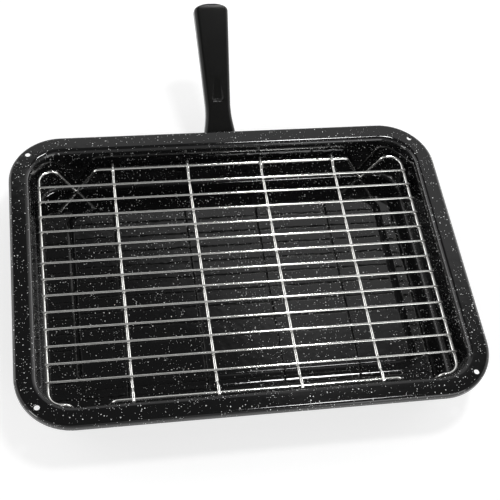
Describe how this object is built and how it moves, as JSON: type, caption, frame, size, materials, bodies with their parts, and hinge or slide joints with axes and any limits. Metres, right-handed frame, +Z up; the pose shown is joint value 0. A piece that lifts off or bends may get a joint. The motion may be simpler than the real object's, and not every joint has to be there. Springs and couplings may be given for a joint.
{
  "type": "grill pan",
  "caption": "Deep enamelled grill pan with a flange, a raised floor panel, a wire rack standing in it and a moulded handle.",
  "frame": {"origin": "centre of the pan's outline in the plane that the pan stands on", "axes": "+Z up, out of the open side of the pan; +X along the long side of the pan; +Y towards the handle"},
  "size_m": [0.38, 0.398, 0.0973],
  "materials": {
    "enamel": "glossy black vitreous enamel with fine light flecks",
    "chrome_wire": "bright chromium plate",
    "grip_plastic": "fine matt black moulding"
  },
  "bodies": {
    "root": {"pan": "enamel", "rack_frame": "chrome_wire", "rack_cross_wire_1": "chrome_wire", "rack_cross_wire_2": "chrome_wire", "rack_cross_wire_3": "chrome_wire", "rack_cross_wire_4": "chrome_wire", "rack_bar_1": "chrome_wire", "rack_bar_2": "chrome_wire", "rack_bar_3": "chrome_wire", "rack_bar_4": "chrome_wire", "rack_bar_5": "chrome_wire", "rack_bar_6": "chrome_wire", "rack_bar_7": "chrome_wire", "rack_bar_8": "chrome_wire", "rack_bar_9": "chrome_wire", "rack_bar_10": "chrome_wire", "rack_bar_11": "chrome_wire", "rack_bar_12": "chrome_wire", "rack_bar_13": "chrome_wire", "handle_bracket": "enamel", "handle_grip": "grip_plastic"}
  },
  "joints": []
}
